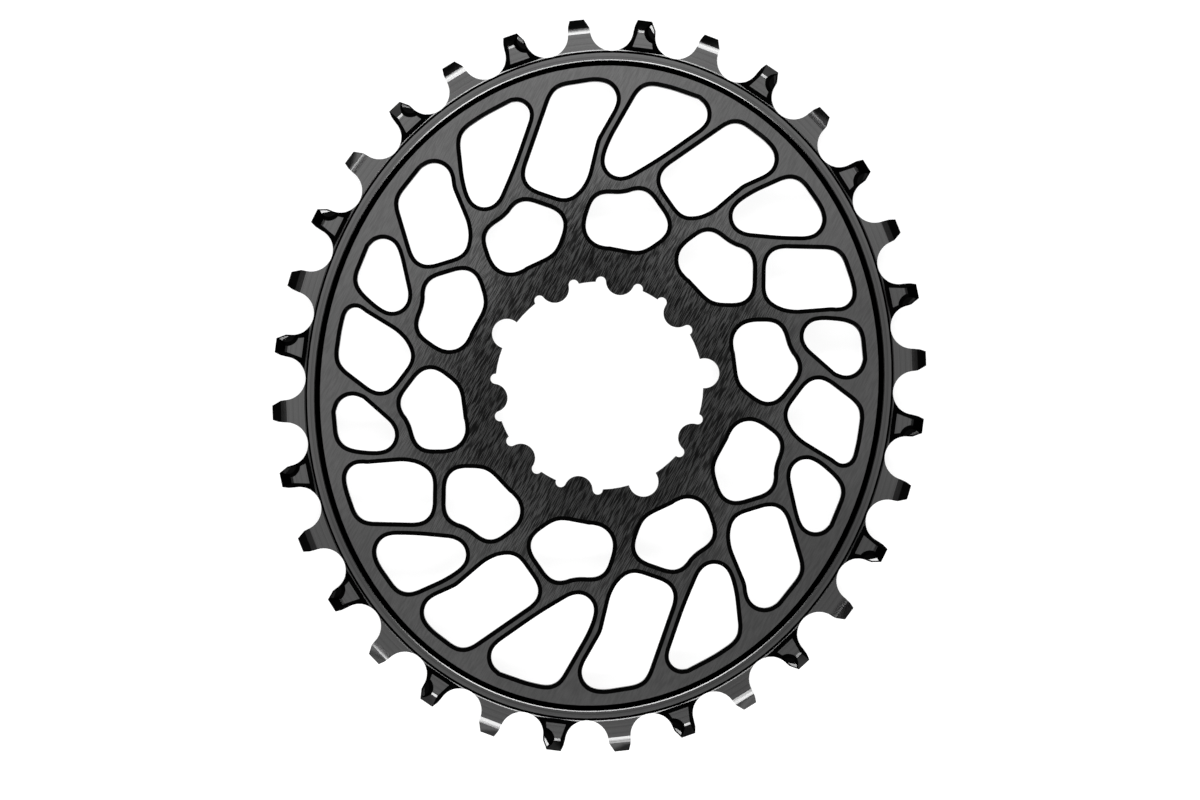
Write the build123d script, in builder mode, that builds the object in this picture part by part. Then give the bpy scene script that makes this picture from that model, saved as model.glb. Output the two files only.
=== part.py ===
"""Oval bicycle chainring with alternating wide and narrow teeth, for a splined crank held by three bolts.

Machined from one aluminium plate. Millimetres. The ring lies on its flat back with its outer face up:
Z is the axis of the bore, and the long axis of the oval lies along Y.
"""

import os
from math import asin, ceil, cos, hypot, pi, radians, sin, sqrt, tan

from build123d import *

# Chain and pitch line
tooth_pairs = 16  # one narrow and one wide tooth each
chain_pitch = 12.7
ovality = 1.1334  # long axis of the pitch line over its short axis
roller_seat_radius = 4.2

# Tooth outline, from the straight line between two neighbouring rollers
tip_height = 2.44
lead_taper = 0.96  # how much narrower the tip is than the neck, on the clockwise side
trail_taper = 0.56
lead_shoulder_height = 0.75  # where the flank turns towards the tip
trail_shoulder_height = 1.28
lead_lean = 0.08  # how far the flank leans in below its shoulder
trail_lean = 0.16

# Tooth thickness. A bevel starts at its foot, steepens at its knee and ends at the tip.
wide_tooth = 3.8
wide_tip = 1.7
wide_bevel_foot = -0.34
wide_bevel_knee = 0.75
wide_bevel_drop = 0.23  # from the face to the knee
narrow_tooth = 2.1
narrow_tip = 0.7
narrow_bevel_foot = 0.05
narrow_bevel_knee = 0.5
narrow_bevel_drop = 0.11
ramp_foot_depth = 2.84  # the narrow face ends here, below the roller line
ramp_top_depth = 3.75

# Sloped flanks of a narrow tooth, on the outer face
flank_foot_half = 1.94  # half the width of the narrow face at the foot of the ramp
flank_lean = 13.5
flank_slope = 40

# Scoop in the clockwise corner of a narrow tooth, on the outer face
scoop_across = 2.3
scoop_height = 0.6
scoop_radius = 2.45
scoop_floor_radius = 1.65
scoop_depth = 0.8

# Rim, whose land stands proud of the teeth
land_step = 0.35
land_slope = 0.3
land_gap = 0.1  # from the bottom of a roller seat to the step
land_width = 1.25

# Dished web, with a gentle foot below its steep slope
foot_width = 0.3
foot_rise = 0.08
dish_slope = 1.0
dish_rise = 2.2
web_thickness = 4.0
web_border = 2.9  # from the top of the dish slope to the windows
back_land_width = 3.0
pocket_slope = 1.1

# Splined bore
spline_radius = 20.0
spline_positions = 10
spline_phase = 14.0
bolt_positions = (0, 4, 8)
bolt_notch_radius = 2.87
bolt_notch_centre = 20.37
lobe_radius = 2.75
lobe_depth = 2.2  # how far a lobe reaches into the bore
relief_radius = 0.98
hub_width = 6.85  # solid ring round the bore

# Windows, in equal sectors. Each corner is its place across the web, from the hub ring at 0 to the rim
# where it is nearest at 1, its share of the sector, counter-clockwise from the sector's axis, and its
# rounding. The first and last corner of an outer window lie past the rim, which cuts it off.
sector_count = 10
sector_phase = 16.17
hub_corner_radius = 4.0
rim_corner_radius = 3.3
inner_window = (
    (0.428, 0.293, 3.1),
    (0.431, 0.045, 4.1),
    (0.525, -0.103, 3.2),
    (0.275, -0.462, 3.2),
)
inner_window_sides = (0.508, -0.234)  # where its two sides run into the hub ring
long_window = (
    (2.010, 0.311, 0),
    (0.620, 0.852, 3.2),
    (0.383, 0.514, 3.3),
    (0.516, 0.355, 4.5),
    (0.865, 0.270, 3.0),
    (1.743, -0.003, 0),
)
drop_window = (
    (1.796, -0.072, 0),
    (0.843, 0.188, 11.0),
    (0.436, 0.296, 3.1),
    (0.683, -0.080, 40.0),
    (1.951, -0.617, 0),
)
window_bevel = 0.7
window_bevel_angle = 45
rounding_turn = radians(32)  # the most that a rounding turns from one of its short flats to the next
side_flat = 6.0  # about how long a flat is along the hub ring or along the rim
rounding_gap = 0.1  # the least that stays straight between two roundings

# Heights
tooth_middle = wide_tooth / 2
narrow_face = tooth_middle + narrow_tooth / 2
rim_front = wide_tooth + land_step
web_front = rim_front + dish_rise
web_back = web_front - web_thickness

# Distances inside the pitch line
land_foot = roller_seat_radius + land_gap
land_edge = land_foot + land_slope
dish_foot = land_edge + land_width
dish_knee = dish_foot + foot_width
dish_edge = dish_knee + dish_slope
window_inset = dish_edge + web_border
pocket_edge = land_edge + back_land_width
pocket_floor = pocket_edge + pocket_slope

tooth_count = 2 * tooth_pairs
hub_radius = spline_radius + hub_width
neck_half = chain_pitch / 2 - roller_seat_radius
clear = 1.0  # how far cutters reach past the metal
halvings = 60  # steps of a search, past the precision of a float
up = Vector(0, 0, 1)


def turning_point(test, low, high):
    """The value between low and high at which the test stops being true."""
    for _ in range(halvings):
        middle = (low + high) / 2
        if test(middle):
            low = middle
        else:
            high = middle
    return low


def chord(long_axis, turn, next_turn):
    """Straight distance between two points of the pitch line, by their turns from its long axis."""
    across = long_axis / ovality * (sin(next_turn) - sin(turn))
    along = long_axis * (cos(next_turn) - cos(turn))
    return hypot(across, along)


def roller_turns(long_axis):
    """Rollers one pitch apart down one side of the oval, with a tooth centred on its long axis."""
    turns = [asin(chain_pitch / 2 * ovality / long_axis)]
    while len(turns) < tooth_pairs:
        here = turns[-1]
        turns.append(turning_point(lambda t: chord(long_axis, here, t) < chain_pitch, here, here + 1))
    return turns


def runs_past(long_axis):
    """True where the oval is too small, so the last roller passes the far end of the long axis."""
    turns = roller_turns(long_axis)
    return turns[-1] > pi - turns[0]


# The pitch line is the oval on which the rollers close exactly
round_radius = chain_pitch / 2 / sin(pi / tooth_count)
pitch_long = turning_point(runs_past, round_radius / ovality, round_radius * ovality)
pitch_short = pitch_long / ovality
one_side = [(pitch_short * sin(t), pitch_long * cos(t)) for t in roller_turns(pitch_long)]
rollers = [Vector(x, y) for x, y in one_side] + [Vector(-x, -y) for x, y in one_side]
teeth = [
    Plane(
        origin=(rollers[i - 1] + rollers[i]) / 2,
        x_dir=rollers[i] - rollers[i - 1],
        z_dir=up,
    )
    for i in range(tooth_count)
]
narrow_teeth = teeth[0::2]
wide_teeth = teeth[1::2]


def oval(inset):
    """An oval that keeps this distance inside the pitch line."""
    return Ellipse(pitch_short - inset, pitch_long - inset)


def rim_share(point):
    """How far out a point lies, as a share of the way to the oval that ends the windows."""
    return hypot(point.X / (pitch_short - window_inset), point.Y / (pitch_long - window_inset))


def rim_point(inside, outside):
    """Where the line from inside to outside crosses the oval that ends the windows."""
    span = outside - inside
    return inside + span * turning_point(lambda s: rim_share(inside + span * s) < 1, 0, 1)


def sector_point(sector, across, share):
    """A point at a place across the web, at a share of one sector."""
    angle = sector_phase + 360 / sector_count * (sector + share)
    reach = hub_radius + across * (pitch_short - window_inset - hub_radius)
    return Vector(reach, 0).rotate(Axis.Z, angle)


def between(first, last, length):
    """The places that part a curved side of this length into flats, from first to last."""
    flats = round(length / side_flat)
    return [first + (last - first) * k / flats for k in range(1, flats)]


def rounded(corners):
    """An outline whose corners, each a point and its radius, are rounded by short flats.

    Where two roundings need more than the side between them, both are made smaller.
    """
    points, radii = zip(*corners)
    count = len(corners)
    sides = [points[i] - points[i - 1] for i in range(count)]
    turns = [radians(sides[i].get_signed_angle(sides[(i + 1) % count], up)) for i in range(count)]
    reaches = [radius * tan(abs(turn) / 2) for radius, turn in zip(radii, turns)]
    crowding = [(reaches[i - 1] + reaches[i] + rounding_gap) / sides[i].length for i in range(count)]
    outline = []
    for i, turn in enumerate(turns):
        squeeze = max(1, crowding[i], crowding[(i + 1) % count])
        radius = radii[i] / squeeze
        heading = sides[i].normalized()
        inward = heading.rotate(Axis.Z, 90 if turn > 0 else -90)
        start = points[i] - heading * reaches[i] / squeeze
        flats = ceil(abs(turn) / rounding_turn) if radius else 0
        for k in range(flats + 1):
            part = abs(turn) * k / max(flats, 1)
            outline.append(start + heading * radius * sin(part) + inward * radius * (1 - cos(part)))
    return outline


def inner_window_outline(sector):
    """A window beside the hub ring, whose inner side follows the ring."""
    first, last = inner_window_sides
    hub_side = hub_radius * 2 * pi / sector_count * (first - last)
    corners = [(sector_point(sector, 0, first), hub_corner_radius)]
    corners += [(sector_point(sector, across, share), radius) for across, share, radius in inner_window]
    corners += [(sector_point(sector, 0, last), hub_corner_radius)]
    corners += [(sector_point(sector, 0, share), 0) for share in between(last, first, hub_side)]
    return rounded(corners)


def outer_window_outline(window, sector):
    """A window that runs out to the rim and ends along it."""
    points = [sector_point(sector, across, share) for across, share, _ in window]
    first = rim_point(points[1], points[0])
    last = rim_point(points[-2], points[-1])
    corners = [(first, rim_corner_radius)]
    corners += [(point, radius) for point, (_, _, radius) in zip(points[1:-1], window[1:-1])]
    corners += [(last, rim_corner_radius)]
    corners += [(point / rim_share(point), 0) for point in between(last, first, (first - last).length)]
    return rounded(corners)


sectors = range(sector_count)
windows = [inner_window_outline(sector) for sector in sectors]
windows += [outer_window_outline(long_window, sector) for sector in sectors]
windows += [outer_window_outline(drop_window, sector) for sector in sectors]

# Splined bore: lobes that fit the crank, each between two round reliefs, and three bolt notches
lobe_centre = spline_radius - lobe_depth + lobe_radius
touch = lobe_radius + relief_radius
relief_cosine = (lobe_centre**2 + spline_radius**2 - touch**2) / (2 * lobe_centre * spline_radius)
relief_along = spline_radius * relief_cosine
relief_across = spline_radius * sqrt(1 - relief_cosine**2)
with BuildSketch() as bore:
    Circle(spline_radius)
    for position in range(spline_positions):
        angle = spline_phase + 360 / spline_positions * position
        along = Vector(1, 0).rotate(Axis.Z, angle)
        aside = along.rotate(Axis.Z, 90)
        if position in bolt_positions:
            with Locations(along * bolt_notch_centre):
                Circle(bolt_notch_radius)
        else:
            reliefs = [along * relief_along + aside * side for side in (relief_across, -relief_across)]
            with Locations(*reliefs):
                Circle(relief_radius)
            with Locations(along * lobe_centre):
                Circle(lobe_radius, mode=Mode.SUBTRACT)

# Cutter for the bevels on both faces of a wide tooth, in the tooth's own frame
middle_plane = Plane.XY.offset(tooth_middle)
tip_end = tip_height + clear
cut_top = rim_front + clear
wide_tip_face = tooth_middle + wide_tip / 2
with BuildPart() as wide_tooth_cut:
    with BuildSketch(Plane.YZ):
        Polygon(
            (wide_bevel_foot, wide_tooth),
            (wide_bevel_knee, wide_tooth - wide_bevel_drop),
            (tip_height, wide_tip_face),
            (tip_end, wide_tip_face),
            (tip_end, cut_top),
            (wide_bevel_foot, cut_top),
            align=None,
        )
    extrude(amount=chain_pitch / 2, both=True)
    mirror(about=middle_plane)

# Cutter for the thinned faces of a narrow tooth, with its ramp up to the rim
narrow_tip_face = tooth_middle + narrow_tip / 2
with BuildPart() as narrow_tooth_cut:
    with BuildSketch(Plane.YZ):
        Polygon(
            (-ramp_top_depth, wide_tooth),
            (-ramp_foot_depth, narrow_face),
            (narrow_bevel_foot, narrow_face),
            (narrow_bevel_knee, narrow_face - narrow_bevel_drop),
            (tip_height, narrow_tip_face),
            (tip_end, narrow_tip_face),
            (tip_end, cut_top),
            (-ramp_top_depth, cut_top),
            align=None,
        )
    extrude(amount=chain_pitch / 2, both=True)
    mirror(about=middle_plane)

# Cutter for the sloped flanks of a narrow tooth, each along a line that leans towards the tip
flank_outer = flank_foot_half + neck_half
flank_bottom = narrow_face - neck_half * tan(radians(flank_slope))
with BuildPart() as flank_cut:
    with BuildSketch(Plane.XZ.offset(ramp_foot_depth)):
        Polygon(
            (-flank_foot_half, narrow_face),
            (-flank_outer, narrow_face),
            (-flank_outer, flank_bottom),
            align=None,
        )
    extrude(amount=ramp_foot_depth + tip_end, dir=Vector(0, 1).rotate(Axis.Z, -flank_lean))
    mirror(about=Plane.YZ)

# Cutter for the scoop in the clockwise corner of a narrow tooth
with BuildPart(Location((scoop_across, scoop_height, narrow_face))) as scoop_cut:
    Cone(scoop_floor_radius, scoop_radius, scoop_depth, align=(Align.CENTER, Align.CENTER, Align.MAX))

# Cutter for the windows, bevelled on the outer face
with BuildPart() as window_cut:
    with BuildSketch(Plane.XY.offset(web_back)):
        for outline in windows:
            Polygon(*outline, align=None)
    extrude(amount=web_thickness - window_bevel)
    extrude(faces().group_by(Axis.Z)[-1], amount=window_bevel, taper=-window_bevel_angle)

with BuildPart() as chainring:
    # Toothed plate: a roller seat between every two teeth
    with BuildSketch():
        with BuildLine():
            for i, tooth in enumerate(teeth):
                following = teeth[(i + 1) % tooth_count]
                outward = (tooth.y_dir + following.y_dir).normalized()
                lead_neck = tooth.from_local_coords((neck_half, 0))
                Polyline(
                    tooth.from_local_coords((-neck_half, 0)),
                    tooth.from_local_coords((trail_lean - neck_half, trail_shoulder_height)),
                    tooth.from_local_coords((trail_taper - neck_half, tip_height)),
                    tooth.from_local_coords((neck_half - lead_taper, tip_height)),
                    tooth.from_local_coords((neck_half - lead_lean, lead_shoulder_height)),
                    lead_neck,
                )
                ThreePointArc(
                    lead_neck,
                    rollers[i] - outward * roller_seat_radius,
                    following.from_local_coords((-neck_half, 0)),
                )
        make_face()
    extrude(amount=wide_tooth)

    # Tooth faces
    with Locations(*wide_teeth):
        add(wide_tooth_cut.part, mode=Mode.SUBTRACT)
    with Locations(*narrow_teeth):
        add(narrow_tooth_cut.part, mode=Mode.SUBTRACT)
        add(flank_cut.part, mode=Mode.SUBTRACT)
        add(scoop_cut.part, mode=Mode.SUBTRACT)

    # Land of the rim, then the foot and the slope of the dish that carries the web
    for low, low_inset, high, high_inset in (
        (wide_tooth, land_foot, rim_front, land_edge),
        (rim_front, dish_foot, rim_front + foot_rise, dish_knee),
        (rim_front + foot_rise, dish_knee, web_front, dish_edge),
    ):
        with BuildSketch(Plane.XY.offset(low)):
            oval(low_inset)
        with BuildSketch(Plane.XY.offset(high)):
            oval(high_inset)
        loft()

    # Pocket that thins the web from the back
    with BuildSketch():
        oval(pocket_edge)
    with BuildSketch(Plane.XY.offset(web_back)):
        oval(pocket_floor)
    loft(mode=Mode.SUBTRACT)

    # Bore and windows
    with BuildSketch(Plane.XY.offset(web_back)):
        add(bore.sketch)
    extrude(amount=web_thickness, mode=Mode.SUBTRACT)
    add(window_cut.part, mode=Mode.SUBTRACT)

chainring.part.label = "chainring"
os.makedirs("parts", exist_ok=True)
export_step(chainring.part, "parts/chainring.step")
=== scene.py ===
from math import acos, cos, pi, radians, tan

import bmesh
import bpy
from mathutils import Matrix, Vector
from mathutils.geometry import delaunay_2d_cdt


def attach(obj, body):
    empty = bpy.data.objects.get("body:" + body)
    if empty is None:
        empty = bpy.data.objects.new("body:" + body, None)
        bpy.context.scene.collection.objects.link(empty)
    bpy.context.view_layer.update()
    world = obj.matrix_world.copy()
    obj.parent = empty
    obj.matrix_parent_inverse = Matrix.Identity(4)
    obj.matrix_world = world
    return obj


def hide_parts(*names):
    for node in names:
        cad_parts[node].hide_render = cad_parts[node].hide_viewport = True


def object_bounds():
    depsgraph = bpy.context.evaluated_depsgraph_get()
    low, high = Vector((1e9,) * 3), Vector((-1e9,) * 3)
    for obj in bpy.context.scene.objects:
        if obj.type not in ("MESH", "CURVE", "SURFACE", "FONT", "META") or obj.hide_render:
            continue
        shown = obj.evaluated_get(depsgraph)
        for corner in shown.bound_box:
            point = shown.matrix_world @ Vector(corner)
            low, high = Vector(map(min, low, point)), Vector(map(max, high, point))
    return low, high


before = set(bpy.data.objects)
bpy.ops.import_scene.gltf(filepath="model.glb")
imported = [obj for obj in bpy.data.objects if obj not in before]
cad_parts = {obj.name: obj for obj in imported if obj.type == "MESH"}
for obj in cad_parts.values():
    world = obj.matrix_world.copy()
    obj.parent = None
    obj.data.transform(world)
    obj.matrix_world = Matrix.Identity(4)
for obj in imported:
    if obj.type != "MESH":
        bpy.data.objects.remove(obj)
cad_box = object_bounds()
scene = bpy.context.scene

# Chainring
# One aluminium plate, machined all over: flat faces brushed on a belt in one direction, bevels, ramps
# and slopes left smooth by the cutter, then the whole ring dyed dark in the anodising bath.
ring = bpy.data.objects.new("ring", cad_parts["chainring"].data.copy())
scene.collection.objects.link(ring)

merge_distance = 2e-6
shape = bmesh.new()
shape.from_mesh(ring.data)
bmesh.ops.remove_doubles(shape, verts=shape.verts, dist=merge_distance)
bmesh.ops.dissolve_degenerate(shape, edges=shape.edges, dist=merge_distance)
shape.normal_update()

# The windows' outlines are read where their bevels start, and rounded more finely. Their walls and their
# bevels, which are drawn wider, are made anew from them, and so are the web's flat faces around them.
bevel_depth = 0.0007
bevel_width = 0.00083
bevel_slope = radians(45)
rounding_steps = 4
flat_tilt = radians(2)
web_front = cad_box[1][2]
bevel_foot = web_front - bevel_depth


def closed_outlines(height, among):
    """The closed outlines that edges at one height form, each a list of vertices, counter-clockwise."""
    neighbours = {}
    for edge in among:
        if all(abs(vertex.co.z - height) < merge_distance for vertex in edge.verts):
            for vertex in edge.verts:
                neighbours.setdefault(vertex, []).append(edge.other_vert(vertex))
    outlines = []
    while neighbours:
        step = next(iter(neighbours))
        outline = []
        while step:
            outline.append(step)
            ahead = [vertex for vertex in neighbours.pop(step) if vertex in neighbours]
            step = ahead[0] if ahead else None
        turned = sum(outline[i - 1].co.xy.cross(vertex.co.xy) for i, vertex in enumerate(outline))
        outlines.append(outline if turned > 0 else outline[::-1])
    return outlines


def bevel_end(corner):
    """Where the bevel ends on the outer face, along the solid's own edge, the steepest from here."""
    rises = [edge.other_vert(corner).co - corner.co for edge in corner.link_edges]
    upward = [rise for rise in rises if rise.z > merge_distance]
    steepest = min(upward, key=lambda rise: rise.length / rise.z)
    reach = bevel_width / steepest.z
    return corner.co + Vector((steepest.x * reach, steepest.y * reach, bevel_depth))


def rounded(corners):
    """The outline with each corner rounded as far as the middle of its shorter side."""
    outline = []
    for i, corner in enumerate(corners):
        before = corners[i - 1] - corner
        after = corners[(i + 1) % len(corners)] - corner
        reach = min(before.length, after.length) / 2
        start = corner + before.normalized() * reach
        end = corner + after.normalized() * reach
        for step in range(rounding_steps + 1):
            share = step / rounding_steps
            outline.append(start.lerp(corner, share).lerp(corner.lerp(end, share), share))
    return outline


outlines = closed_outlines(bevel_foot, shape.edges)
walls = {face for outline in outlines for vertex in outline for face in vertex.link_faces}
walls |= {
    face for face in shape.faces if abs(acos(face.normal.z) - bevel_slope) < flat_tilt
    and all(vertex.co.z > bevel_foot - merge_distance for vertex in face.verts)
}
web_back = min(vertex.co.z for face in walls for vertex in face.verts)
to_back = Vector((0, 0, web_back - bevel_foot))
windows = []
for outline in outlines:
    inner = rounded([corner.co.copy() for corner in outline])
    outer = rounded([bevel_end(corner) for corner in outline])
    windows.append(([point + to_back for point in inner], inner, outer))
web_faces = {
    face for face in shape.faces if abs(face.normal.z) > cos(flat_tilt)
    and min(abs(face.verts[0].co.z - web_front), abs(face.verts[0].co.z - web_back)) < merge_distance
}
bmesh.ops.delete(shape, geom=list(walls | web_faces), context="FACES")
for window in windows:
    loops = [[shape.verts.new(point) for point in outline] for outline in window]
    for lower, upper in zip(loops, loops[1:]):
        for i in range(len(lower)):
            shape.faces.new((lower[i], lower[i - 1], upper[i - 1], upper[i]))
bmesh.ops.remove_doubles(shape, verts=shape.verts, dist=merge_distance)
inside_outlines = 1  # the kind of filling that stays within the outlines
for height, side in ((web_front, 1), (web_back, -1)):
    outlines = closed_outlines(height, [edge for edge in shape.edges if edge.is_boundary])
    corners = [vertex for outline in outlines for vertex in outline]
    numbers = {vertex: number for number, vertex in enumerate(corners)}
    _, _, triangles, sources, _, around = delaunay_2d_cdt(
        [vertex.co.xy for vertex in corners],
        [],
        [[numbers[vertex] for vertex in outline] for outline in outlines],
        inside_outlines,
        merge_distance / 10,
    )
    for triangle, holders in zip(triangles, around):
        if len(holders) == 1:
            shape.faces.new([corners[sources[number][0]] for number in triangle][::side])

# The foot of the dish is drawn in, so that the light on it is a fine line.
rim_front = 0.00415
foot_top = 0.00423
foot_share = 0.6
for vertex in shape.verts:
    if abs(vertex.co.z - foot_top) < merge_distance:
        beside = [edge.other_vert(vertex).co for edge in vertex.link_edges]
        below = [place for place in beside if abs(place.z - rim_front) < merge_distance]
        vertex.co = min(below, key=lambda place: (place - vertex.co).length).lerp(vertex.co, foot_share)

# A scoop's floor slopes away at its open side, most of all beside the tip, and glints there. Its outer
# edge is steep, along the flank at the tip, the floor's longest side, and along the flank below. The
# flank's shoulder, which lies just under the floor, is brought up into it first.
scoop_floor = 0.00215
shoulder_gap = 0.00005
glint_width = 0.00082
glint_tilt = radians(19)
glint_turn = radians(10)
edge_width = 0.00026
edge_tilt = radians(45)
up = Vector((0, 0, 1))


def slope_away(parts, sides, width, tilt):
    """Tilts what lies less than a width inside any of the sides, and gives all the parts after the cuts."""
    for start, inward in sides:
        parts = bmesh.ops.bisect_plane(
            shape, geom=parts, dist=merge_distance, plane_co=start + inward * width, plane_no=inward,
        )["geom"]
    for part in parts:
        if isinstance(part, bmesh.types.BMVert):
            outside = max(width - inward.dot(part.co - start) for start, inward in sides)
            part.co.z -= max(outside, 0) * tan(tilt)
    return parts


for vertex in shape.verts:
    if 0 < scoop_floor - vertex.co.z < shoulder_gap:
        vertex.co.z = scoop_floor
shape.normal_update()
floors = [
    face for face in shape.faces if face.normal.z > cos(flat_tilt)
    and abs(face.verts[0].co.z - scoop_floor) < merge_distance
]
for face in bmesh.ops.dissolve_faces(shape, faces=floors)["region"]:
    longest = max(face.edges, key=lambda edge: edge.calc_length())
    shoulder, tip = sorted((vertex.co.copy() for vertex in longest.verts), key=lambda place: place.length)
    foot = min((vertex.co.copy() for vertex in face.verts), key=lambda place: place.dot(tip - shoulder))
    beside_tip = up.cross(tip - shoulder).normalized()
    below_tip = up.cross(shoulder - foot).normalized()
    glint_side = (tip, Matrix.Rotation(glint_turn, 3, "Z") @ beside_tip)
    parts = slope_away([face, *face.edges, *face.verts], [glint_side], glint_width, glint_tilt)
    slope_away(parts, [(tip, beside_tip), (shoulder, below_tip)], edge_width, edge_tilt)

# All faces are smooth but the strips that glint, and the edges of flat faces and of steep bends are sharp.
crease_angle = radians(35)
bmesh.ops.recalc_face_normals(shape, faces=shape.faces)
for face in shape.faces:
    under_floor = 0 < scoop_floor - face.calc_center_median().z < glint_width
    face.smooth = not (under_floor and abs(acos(face.normal.z) - glint_tilt) < flat_tilt)
for edge in shape.edges:
    beside_flat = any(abs(face.normal.z) > cos(flat_tilt) for face in edge.link_faces)
    angle = edge.calc_face_angle(crease_angle)
    edge.smooth = angle < (flat_tilt if beside_flat else crease_angle)
shape.to_mesh(ring.data)
shape.free()


class Value:
    """One output in a node tree, so that shader maths reads as plain sums and products."""

    def __init__(self, tree, socket=None):
        self.tree = tree
        self.socket = socket

    def node(self, kind, settings=None, inputs=None, output=0):
        """Adds a node, sets its settings, then its inputs' values or links, and gives one output."""
        made = self.tree.nodes.new(kind)
        for name, setting in (settings or {}).items():
            setattr(made, name, setting)
        for name, value in (inputs or {}).items():
            if isinstance(value, Value):
                self.tree.links.new(value.socket, made.inputs[name])
            else:
                made.inputs[name].default_value = value
        return Value(self.tree, made.outputs[output] if made.outputs else None)

    def maths(self, operation, first, second):
        return self.node("ShaderNodeMath", {"operation": operation}, {0: first, 1: second})

    def __add__(self, other):
        return self.maths("ADD", self, other)

    def __sub__(self, other):
        return self.maths("SUBTRACT", self, other)

    def __rsub__(self, other):
        return self.maths("SUBTRACT", other, self)

    def __mul__(self, other):
        return self.maths("MULTIPLY", self, other)

    __radd__ = __add__
    __rmul__ = __mul__


def new_tree(owner):
    """An empty node tree for a material or a world."""
    owner.use_nodes = True
    owner.node_tree.nodes.clear()
    return Value(owner.node_tree)


def stretched(tree, scale, turn=0.0):
    """Object coordinates divided by a scale, along axes turned about the bore."""
    place = tree.node("ShaderNodeTexCoord", output="Object")
    return tree.node("ShaderNodeMapping", {"vector_type": "TEXTURE"}, {
        "Vector": place, "Rotation": (0, 0, turn), "Scale": scale,
    })


def streaks(tree, scale, detail, turn=0.0):
    """Noise drawn out along its longest scale, from 0 to 1."""
    return tree.node("ShaderNodeTexNoise", inputs={
        "Vector": stretched(tree, scale, turn), "Scale": 1.0, "Detail": detail,
    })


def spread(value, low, high):
    """The part of a value between low and high, drawn out to 0 to 1."""
    return value.node("ShaderNodeMapRange", inputs={"Value": value, "From Min": low, "From Max": high})


def grey_metal(share, greys, roughness, settings=None):
    """A metal that goes from the first of two greys to the second as the share goes from 0 to 1."""
    factor, first, second, result = 0, 6, 7, 2  # the numbers of a Mix node's sockets for colours
    dark, light = ((grey, grey, grey, 1) for grey in greys)
    colour = share.node("ShaderNodeMix", {"data_type": "RGBA"}, {
        factor: share, first: dark, second: light,
    }, output=result)
    surface = share.node("ShaderNodeBsdfPrincipled", inputs={
        "Base Color": colour, "Metallic": 1.0, "Roughness": roughness, **(settings or {}),
    })
    share.node("ShaderNodeOutputMaterial", inputs={"Surface": surface})


# Flat faces: the web is brushed, most boldly round the hub, and the land and the teeth are turned, with
# lines that follow the oval. At the foot of the land the cutter left a narrow fillet; the dark corner
# there, a band across the land and the darker hub are painted shade. Each starts and ends at a share of the
# land's oval.
land_half_axes = (0.056376, 0.06447)
hub_fade = (0.75, 0.45)
turned_start = (0.966, 0.968)
land_shade_start = (0.9745, 0.978)
land_shade_end = (0.9865, 0.9845)
fillet_start = 1.0025
fillet_end = 1.005
fillet_rise = 0.000035
corner_shade_start = (0.996, 0.998)
corner_shade_end = (fillet_start, 1.0015)
brush_turn = radians(69)
stroke_size = (0.0019, 0.00014, 0.00014)
stroke_contrast = (0.38, 0.62)
patch_size = (0.03, 0.002, 0.002)
patch_share = 0.15
soft_contrast = (0.3, 0.7)
middle_shade = 0.5
hub_painted_shade = 0.12
least_boldness = 0.25
grooves_across = 220.0
groove_shade = 0.15
groove_contrast = 0.7
land_shade_strength = 0.25
even_share = 0.35
flat_faces_and_painted_shade = bpy.data.materials.new("brushed_faces_and_painted_shade")
tree = new_tree(flat_faces_and_painted_shade)
oval = tree.node("ShaderNodeVectorMath", {"operation": "LENGTH"}, {
    0: stretched(tree, (*land_half_axes, 1)),
}, output="Value")
strokes = spread(streaks(tree, stroke_size, 0.0, brush_turn), *stroke_contrast)
patches = spread(streaks(tree, patch_size, 1.0, brush_turn), *soft_contrast)
near_hub = spread(oval, *hub_fade)
marks = (1 - patch_share) * strokes + patch_share * patches - middle_shade
# The web is painted darker towards the hub, painted shade.
brushing_and_painted_shade = middle_shade - hub_painted_shade * near_hub + (least_boldness + near_hub) * marks
grooves = tree.node("ShaderNodeTexNoise", {"noise_dimensions": "1D"}, {
    "W": oval, "Scale": grooves_across, "Detail": 2.0,
})
# A band across the land is painted darker, painted shade.
painted_land_shade = spread(oval, *land_shade_end) * spread(oval, *land_shade_start)
turning_and_painted_shade = groove_shade + groove_contrast * grooves - land_shade_strength * painted_land_shade
turned = spread(oval, *turned_start)
lines_and_painted_shade = turned * turning_and_painted_shade + (1 - turned) * brushing_and_painted_shade
fillet = tree.node("ShaderNodeBump", inputs={
    "Distance": fillet_rise, "Height": 1 - spread(oval, fillet_start, fillet_end),
})
# A dark line in the corner at the foot of the land is painted shade.
painted_corner_shade = spread(oval, *corner_shade_start) * spread(oval, *corner_shade_end)
shade = (even_share + (1 - even_share) * lines_and_painted_shade) * (1 - painted_corner_shade)
grey_metal(shade, greys=(0.0, 0.13), roughness=0.22 + 0.08 * lines_and_painted_shade, settings={"Normal": fillet})

# Bevels, ramps, slopes and tooth tips are as the cutter left them, faintly clouded by the dye, and the
# steeper slopes, the ramps and the tooth tips are painted near black, painted shade.
cloud_size = (0.002, 0.002, 0.002)


def clouded_metal(name, detail, greys, roughness, settings=None):
    """A metal with clouds that go between two greys and two roughnesses."""
    material = bpy.data.materials.new(name)
    clouds = streaks(new_tree(material), cloud_size, detail)
    least, most = roughness
    grey_metal(clouds, greys, least + (most - least) * clouds, settings)
    return material


bevelled = clouded_metal("bright_bevels", detail=2.0, greys=(0.08, 0.1), roughness=(0.2, 0.24))
# The steeper slopes and the scoop floors are painted near black, painted shade, with no tint at the edges
# of their reflections.
cut_in_painted_shade = clouded_metal(
    "cut_edges_in_painted_shade", detail=3.0, greys=(0.001, 0.005), roughness=(0.12, 0.2),
    settings={"Specular Tint": (0, 0, 0, 1)},
)
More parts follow.
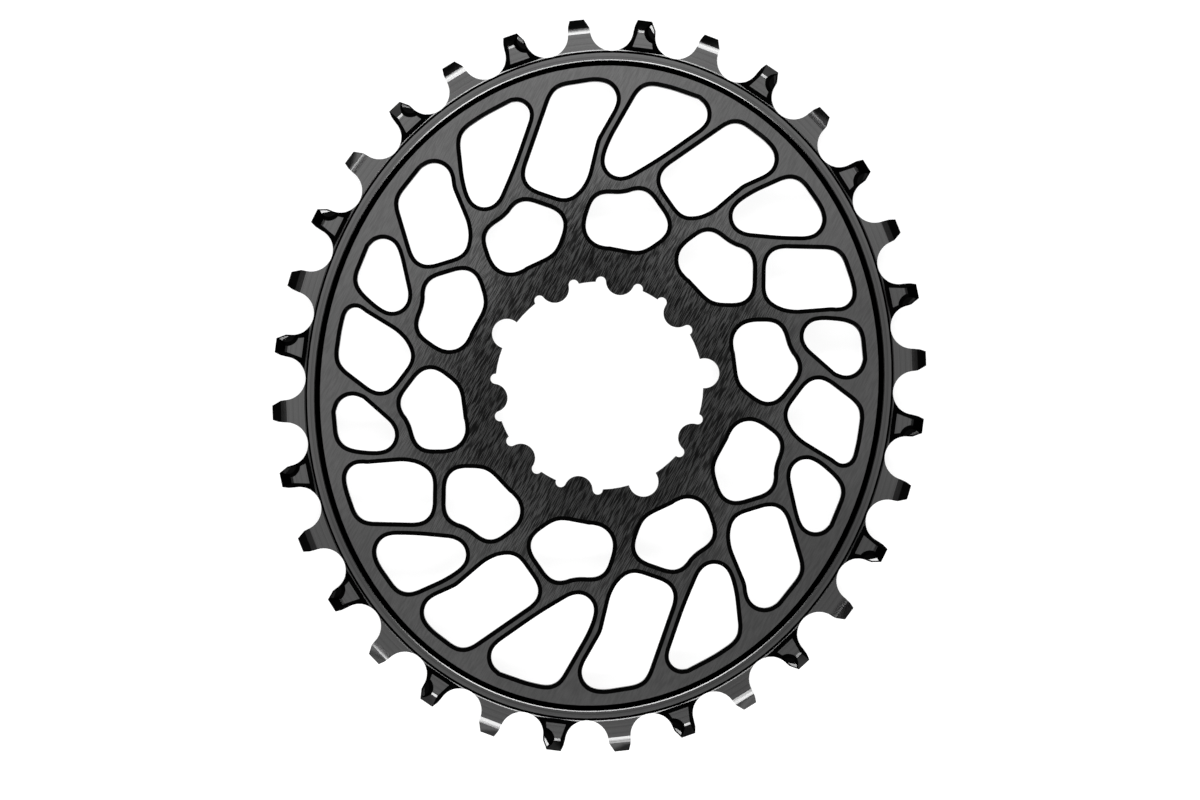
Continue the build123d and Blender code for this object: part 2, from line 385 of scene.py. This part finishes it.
# The tooth tips are painted near black as well, painted shade.
tips_in_painted_shade = clouded_metal("tooth_tips_in_painted_shade", detail=2.0, greys=(0.01, 0.016), roughness=(0.18, 0.24))

# The walls that stand upright are satin, with lines that the side of the cutter left along them.
tool_line_size = (0.0003, 0.0003, 0.02)
milled = bpy.data.materials.new("milled_walls")
tool_lines = spread(streaks(new_tree(milled), tool_line_size, 2.0), *soft_contrast)
grey_metal(tool_lines, greys=(0.042, 0.07), roughness=0.32 + 0.08 * tool_lines)

# Each face takes a material by its tilt. The steeper slopes, the tooth tips and the level part of a scoop's
# floor are painted near black, painted shade, and the strips that glint, the only faces that aren't smooth,
# are bright.
bevel_tilt = radians(16)
tip_tilt = radians(26)
wall_tilt = radians(80)
ring_materials = (flat_faces_and_painted_shade, bevelled, cut_in_painted_shade, milled, tips_in_painted_shade)
ring.data.materials.clear()
for chosen_material in ring_materials:
    ring.data.materials.append(chosen_material)
for face in ring.data.polygons:
    tilt = acos(min(abs(face.normal.z), 1))
    if face.normal.z > 0 and abs(face.center.z - scoop_floor) < merge_distance:
        chosen_material = cut_in_painted_shade
    elif abs(tilt - tip_tilt) < flat_tilt and face.center.xy.length > land_half_axes[0]:
        chosen_material = tips_in_painted_shade
    elif not face.use_smooth:
        chosen_material = bevelled
    elif tilt > wall_tilt:
        chosen_material = milled
    elif tilt > bevel_tilt:
        chosen_material = cut_in_painted_shade
    elif tilt > flat_tilt:
        chosen_material = bevelled
    else:
        chosen_material = flat_faces_and_painted_shade
    face.material_index = ring_materials.index(chosen_material)
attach(ring, "root")
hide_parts("chainring")

# Floor
# A plain white studio table that the ring lies on. It stays white to the camera and in the metal,
# keeps the ring's shadow, and is clear from below.
floor_half = 8.0
paper_grey = 0.85
glow_strength = 1.2
glow_share = 0.75
floor_corners = [(x * floor_half, y * floor_half, 0) for x, y in ((-1, -1), (1, -1), (1, 1), (-1, 1))]
floor_mesh = bpy.data.meshes.new("floor")
floor_mesh.from_pydata(floor_corners, [], [(0, 1, 2, 3)])
floor = bpy.data.objects.new("floor", floor_mesh)
scene.collection.objects.link(floor)
table = bpy.data.materials.new("white_table")
tree = new_tree(table)
camera_ray, glossy_ray, passing_ray = (
    tree.node("ShaderNodeLightPath", output=name)
    for name in ("Is Camera Ray", "Is Glossy Ray", "Is Transmission Ray")
)
paper = tree.node("ShaderNodeBsdfDiffuse", inputs={"Color": (paper_grey, paper_grey, paper_grey, 1)})
glow = tree.node("ShaderNodeEmission", inputs={"Strength": glow_strength})
lit = tree.node("ShaderNodeMixShader", inputs={
    0: glow_share * (camera_ray + glossy_ray + passing_ray), 1: paper, 2: glow,
})
clear = tree.node("ShaderNodeBsdfTransparent")
from_below = tree.node("ShaderNodeNewGeometry", output="Backfacing")
tree.node("ShaderNodeOutputMaterial", inputs={
    "Surface": tree.node("ShaderNodeMixShader", inputs={0: from_below, 1: lit, 2: clear}),
})
floor_mesh.materials.append(table)

# Lights
# Eight soft panels over the rim, brightest near the top of the picture, and three narrow strips that glint
# on the bevels, one beyond the picture's top edge and two beyond its bottom edge, the outer one lower. The
# studio is pale low down and dim overhead.
picture_turn = radians(7.31)
over_rim = 0.06
panel_count = 8
panel_power = 0.007
power_swing = 0.5
brightest = radians(108)


def panel(name, angle, distance, height, length, width, power, aim):
    """A lamp over or beside the ring, at an angle from the picture's right, aimed at a point."""
    lamp = bpy.data.lights.new(name, "AREA")
    lamp.shape = "RECTANGLE"
    lamp.size = length
    lamp.size_y = width
    lamp.energy = power
    light = bpy.data.objects.new(name, lamp)
    turn = Matrix.Rotation(angle + picture_turn, 4, "Z")
    light.location = turn @ Vector((distance, 0, height))
    light.rotation_euler = (turn @ Vector((aim - distance, 0, -height))).to_track_quat("-Z", "Y").to_euler()
    light.visible_camera = False
    scene.collection.objects.link(light)


for number in range(panel_count):
    angle = 2 * pi * number / panel_count
    power = panel_power * (1 + power_swing * cos(angle - brightest))
    panel(
        "panel_%d" % number, angle, distance=over_rim, height=0.072, length=0.05, width=0.045,
        power=power, aim=over_rim,
    )
panel("strip_top", radians(96), distance=0.111, height=0.1, length=0.24, width=0.02, power=0.24, aim=0)
panel("strip_bottom", radians(270), distance=0.111, height=0.1, length=0.24, width=0.02, power=0.21, aim=0)
panel("strip_low", radians(270), distance=0.14, height=0.08, length=0.3, width=0.024, power=0.23, aim=0)

low_light = 0.7
overhead_light = 0.12
overhead_start = 0.6
studio = bpy.data.worlds.new("studio")
scene.world = studio
tree = new_tree(studio)
direction = tree.node("ShaderNodeTexCoord", output="Generated")
upward = tree.node("ShaderNodeSeparateXYZ", inputs={"Vector": direction}, output="Z")
level = tree.node("ShaderNodeMapRange", {"interpolation_type": "SMOOTHSTEP"}, {
    "Value": upward, "From Min": 0.0, "From Max": overhead_start,
    "To Min": low_light, "To Max": overhead_light,
})
sky = tree.node("ShaderNodeBackground", inputs={"Color": level, "Strength": 1.0})
tree.node("ShaderNodeOutputWorld", inputs={"Surface": sky})
scene.view_settings.view_transform = "Standard"

# Camera
# Straight above the ring, a long lens, turned so that the oval leans as in the picture, whose width is
# taken at the height of the faces.
picture_width = 0.2308
camera_height = 1.6
face_height = 0.005
centre_offset = Vector((0.000138, -0.002778, 0))
lens = bpy.data.cameras.new("camera")
lens.lens = lens.sensor_width * (camera_height - face_height) / picture_width
camera = bpy.data.objects.new("camera", lens)
camera.location = Matrix.Rotation(picture_turn, 4, "Z") @ centre_offset + Vector((0, 0, camera_height))
camera.rotation_euler = (0, 0, picture_turn)
scene.collection.objects.link(camera)
scene.camera = camera
